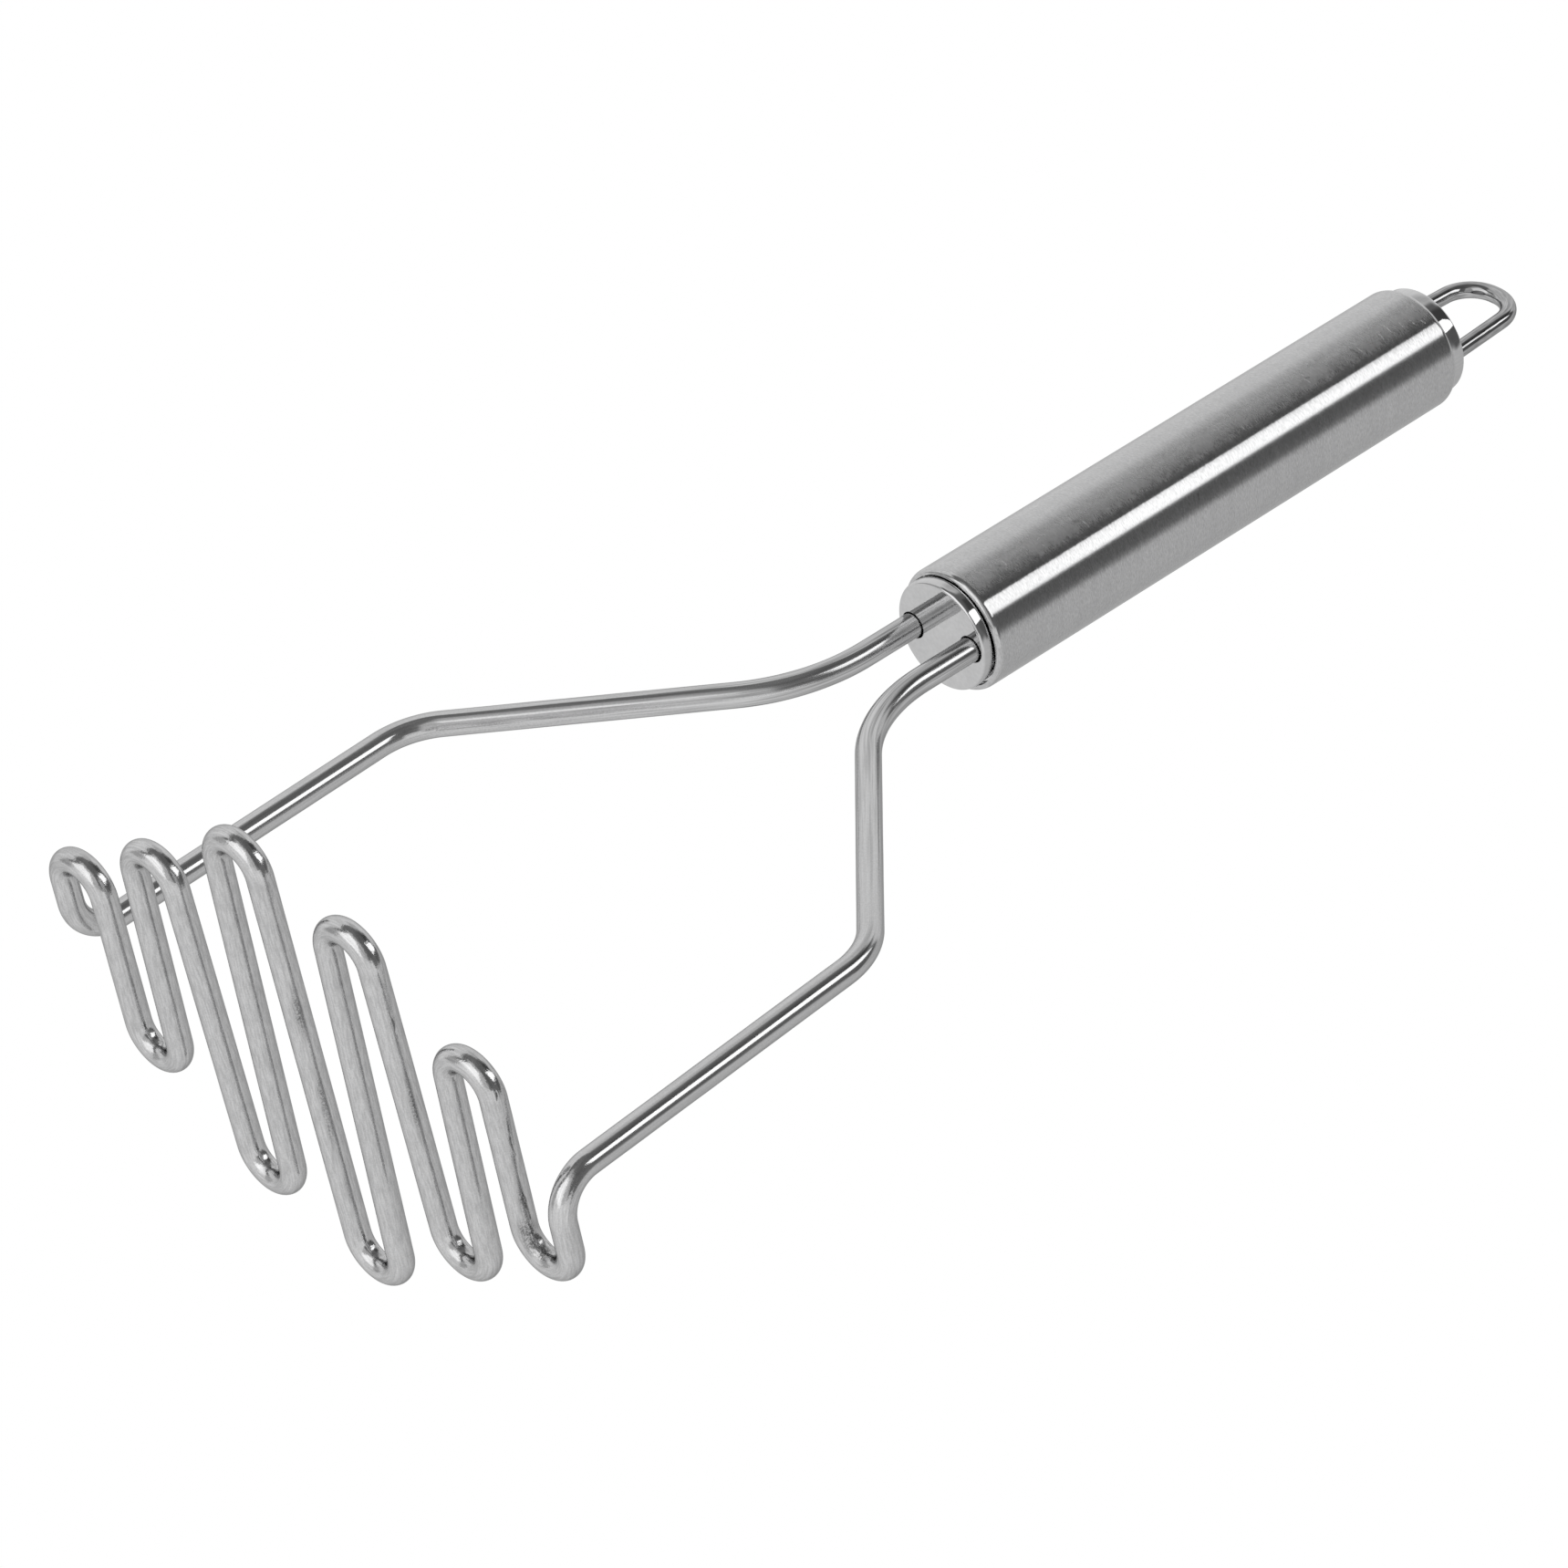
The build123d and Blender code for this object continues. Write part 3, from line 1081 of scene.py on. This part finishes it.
def photo_camera():
    """Camera at the photograph's viewing angle."""
    lens = bpy.data.cameras.new("photo_camera")
    lens.lens = camera_lens
    lens.sensor_width = film_width
    lens.clip_start = nearest_seen
    lens.clip_end = farthest_seen
    camera = in_scene("photo_camera", lens)
    camera.location = camera_place
    camera.rotation_euler = camera_turn
    bpy.context.scene.camera = camera


# Studio, laid out from a white table that stands on the +Y side of the masher
table_up = Vector((0.296, -0.949, -0.109)).normalized()

# Panels round the masher: turn from the camera, height, half width, half height, soft edge, all in
# degrees, and brightness. Each one covers those before it.
panels = {
    "top_panel": (-70, 70, 60, 9, 12, 0.60),
    "upper_front": (-18, 45, 26, 28, 10, 0.62),
    "front_wall": (-32, 8, 65, 17, 8, 0.89),
    "back_wall": (190, 10, 56, 35, 9, 0.86),
    "left_gap": (-103, 3, 12, 18, 8, 0.48),
    "left_softbox": (-66, 43, 33, 23, 10, 1.42),
    "dark_right": (88, 57, 62, 26, 12, 0.155),
    "wall_foot": (128, 2, 12, 16, 10, 0.74),
    "high_wall": (160, 31, 13, 12, 18, 0.56),
    "dark_low": (113, 38, 17, 14, 11, 0.065),
    "right_gap": (93, 11, 22, 15, 9, 0.125),
}

# Table: brightness, what its bright side adds and where that is, and how it dims below; angles in degrees
table_level = 0.71
table_swing = 0.13
table_bright_side = -60
table_shade = 0.90
table_shade_heights = (-30, -80)

# Room above the table: brightness low and high up, between which heights in radians, and the horizon
# with its softness in degrees
room_level = 0.18
room_top_level = 0.20
room_heights = (0.3, 1.5)
horizon = 4
horizon_soft = 14


def table_turn():
    """Turns a direction in the part's frame into the table's: x to the camera, z up from the table."""
    forward = (camera_place - table_up * camera_place.dot(table_up)).normalized()
    return Matrix((forward, table_up.cross(forward), table_up)).to_euler()


def table_brightness(tree, around, height):
    """White table, brighter on one side and a little shaded straight below the masher."""
    from_bright = math_node(tree, "SUBTRACT", around, math.radians(table_bright_side))
    table = plus(tree, table_level, math_node(tree, "COSINE", from_bright), table_swing)
    below = smooth_step(tree, height, *(math.radians(h) for h in table_shade_heights), 1.0, table_shade)
    return times(tree, table, below)


def panel_share(tree, around, height, turned, raised, half_width, half_height, soft):
    """Share of a panel in a direction, from 0 outside it to 1 inside."""
    aside = math_node(tree, "SUBTRACT", around, math.radians(turned))
    aside = math_node(tree, "WRAP", aside, math.pi, -math.pi)
    aside = math_node(tree, "ABSOLUTE", aside)
    over = math_node(tree, "ABSOLUTE", math_node(tree, "SUBTRACT", height, math.radians(raised)))
    inside = [smooth_step(tree, away, math.radians(half + soft / 2), math.radians(half - soft / 2))
              for away, half in ((aside, half_width), (over, half_height))]
    return times(tree, *inside)


def studio_world():
    """White behind the masher; in the metal, a white table, walls, softboxes and a darker room."""
    world = bpy.data.worlds.new("studio")
    world.use_nodes = True
    tree = world.node_tree
    tree.nodes.clear()
    way = tree.nodes.new("ShaderNodeTexCoord")
    turn = tree.nodes.new("ShaderNodeMapping")
    turn.inputs["Rotation"].default_value = table_turn()
    tree.links.new(way.outputs["Generated"], turn.inputs["Vector"])
    parts = tree.nodes.new("ShaderNodeSeparateXYZ")
    tree.links.new(turn.outputs["Vector"], parts.inputs["Vector"])
    around = math_node(tree, "ARCTAN2", parts.outputs["Y"], parts.outputs["X"])
    height = math_node(tree, "ARCSINE", parts.outputs["Z"])

    table = table_brightness(tree, around, height)
    room = smooth_step(tree, height, *room_heights, room_level, room_top_level)
    above = smooth_step(tree, height, math.radians(horizon - horizon_soft / 2),
                        math.radians(horizon + horizon_soft / 2))
    level = blend_in(tree, table, room, above)
    for *shape, bright in panels.values():
        level = blend_in(tree, level, bright, panel_share(tree, around, height, *shape))

    path = tree.nodes.new("ShaderNodeLightPath")
    in_metal = math_node(tree, "MAXIMUM", path.outputs["Is Glossy Ray"], path.outputs["Is Transmission Ray"])
    strength = blend_in(tree, floor_light, level, in_metal)
    strength = blend_in(tree, strength, 1.0, path.outputs["Is Camera Ray"])
    light = tree.nodes.new("ShaderNodeBackground")
    light.inputs["Color"].default_value = (1, 1, 1, 1)
    tree.links.new(strength, light.inputs["Strength"])
    out = tree.nodes.new("ShaderNodeOutputWorld")
    tree.links.new(light.outputs[0], out.inputs["Surface"])
    world.cycles.sampling_method = "NONE"
    bpy.context.scene.world = world


# Softbox on the right, near enough for its reflection to shift along the masher, in metres and watts
softbox_place = Vector((0.705, -0.604, 0.839))
softbox_long_way = Vector((-0.053, -0.030, 0.998)).normalized()
softbox_short_way = Vector((0.397, -0.917, -0.007)).normalized()
softbox_size = (1.10, 0.78)
softbox_watts = 4.8

# Soft key light that only the floor sees, in metres and watts
key_place = Vector((0.9, -0.65, 1.5))
key_size = (0.9, 0.9)
key_watts = 14.0

# Floor, in metres: the light round it, its colour, where it fades out and how far it lies below the head
floor_light = 0.75
floor_colour = (0.86, 0.86, 0.86, 1)
floor_fade = (0.45, 1.6)
floor_margin_share = 1.05
floor_drop = 0.0003


def studio_lamp(name, place, turn, size, watts):
    """Rectangular soft lamp that doesn't show in the picture itself."""
    lamp = bpy.data.lights.new(name, "AREA")
    lamp.shape = "RECTANGLE"
    lamp.size, lamp.size_y = size
    lamp.energy = watts
    box = in_scene(name, lamp)
    box.location = place
    box.rotation_euler = turn
    box.visible_camera = False
    return box


def studio_lamps():
    """The right softbox, and a soft key light that only the floor sees."""
    facing = softbox_long_way.cross(softbox_short_way).normalized()
    across = facing.cross(softbox_long_way)
    turn = Matrix((softbox_long_way, across, facing)).transposed().to_euler()
    studio_lamp("right_softbox", softbox_place, turn, softbox_size, softbox_watts)
    key_turn = (-key_place).to_track_quat("-Z", "Y").to_euler()
    key = studio_lamp("floor_key", key_place, key_turn, key_size, key_watts)
    key.visible_glossy = False


def studio_floor():
    """Pale floor that fades out and can't be seen from below, where the photograph's camera is."""
    size = floor_fade[1] * floor_margin_share
    mesh = bpy.data.meshes.new("floor")
    corners = [(x, y, -floor_drop) for x, y in ((-size, -size), (size, -size), (size, size), (-size, size))]
    mesh.from_pydata(corners, [], [(0, 1, 2, 3)])
    floor = in_scene("floor", mesh)
    finish = bpy.data.materials.new("pale_floor")
    finish.use_nodes = True
    tree = finish.node_tree
    tree.nodes.clear()
    matt = tree.nodes.new("ShaderNodeBsdfDiffuse")
    matt.inputs["Color"].default_value = floor_colour
    clear = tree.nodes.new("ShaderNodeBsdfTransparent")
    away = vector_sum(tree, "LENGTH", object_point(tree))
    faded = smooth_step(tree, away, *floor_fade)
    side = tree.nodes.new("ShaderNodeNewGeometry")
    path = tree.nodes.new("ShaderNodeLightPath")
    gone = math_node(tree, "MAXIMUM", faded, side.outputs["Backfacing"])
    gone = math_node(tree, "MAXIMUM", gone, path.outputs["Is Glossy Ray"])
    mix = tree.nodes.new("ShaderNodeMixShader")
    for socket, value in zip(mix.inputs, (gone, matt.outputs[0], clear.outputs[0])):
        tree.links.new(value, socket)
    out = tree.nodes.new("ShaderNodeOutputMaterial")
    tree.links.new(mix.outputs[0], out.inputs["Surface"])
    mesh.materials.append(finish)
    floor.visible_shadow = False


make_pieces()
photo_camera()
studio_world()
studio_lamps()
studio_floor()
bpy.context.scene.view_settings.view_transform = "Standard"
